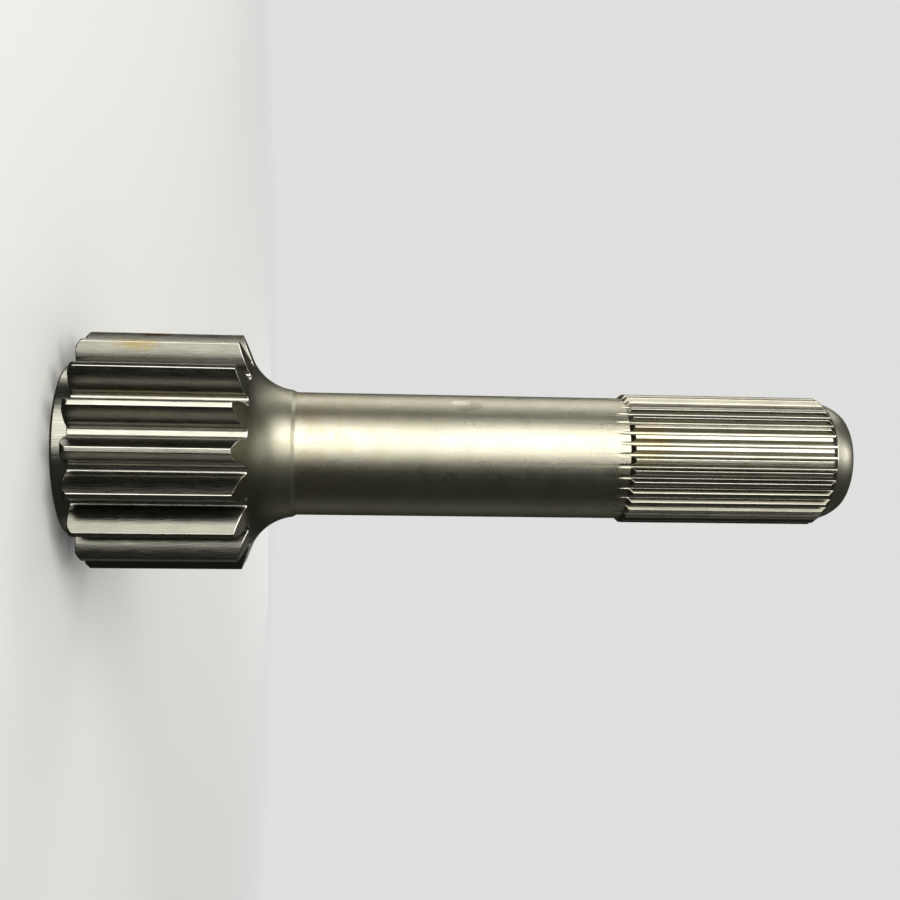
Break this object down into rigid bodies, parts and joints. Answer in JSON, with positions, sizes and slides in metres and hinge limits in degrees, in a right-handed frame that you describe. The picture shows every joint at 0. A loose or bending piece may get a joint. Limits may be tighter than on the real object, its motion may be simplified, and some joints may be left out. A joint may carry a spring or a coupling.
{
  "type": "splined shaft",
  "caption": "Solid steel drive shaft with a straight spur pinion at one end, a smooth plain middle and a fine involute spline at the other end.",
  "frame": {"origin": "centre of the flat end face of the collar at the pinion end, which is the face the shaft stands on", "axes": "+Z along the shaft, from the pinion end to the spline end; +X through the middle of one pinion tooth; +Y completes a right-handed frame"},
  "size_m": [0.0795, 0.0798, 0.2671],
  "materials": {
    "steel": "ground and hobbed steel, satin, lightly oiled, a few rust-brown stains"
  },
  "bodies": {
    "root": {"splined_shaft": "steel"}
  },
  "joints": []
}
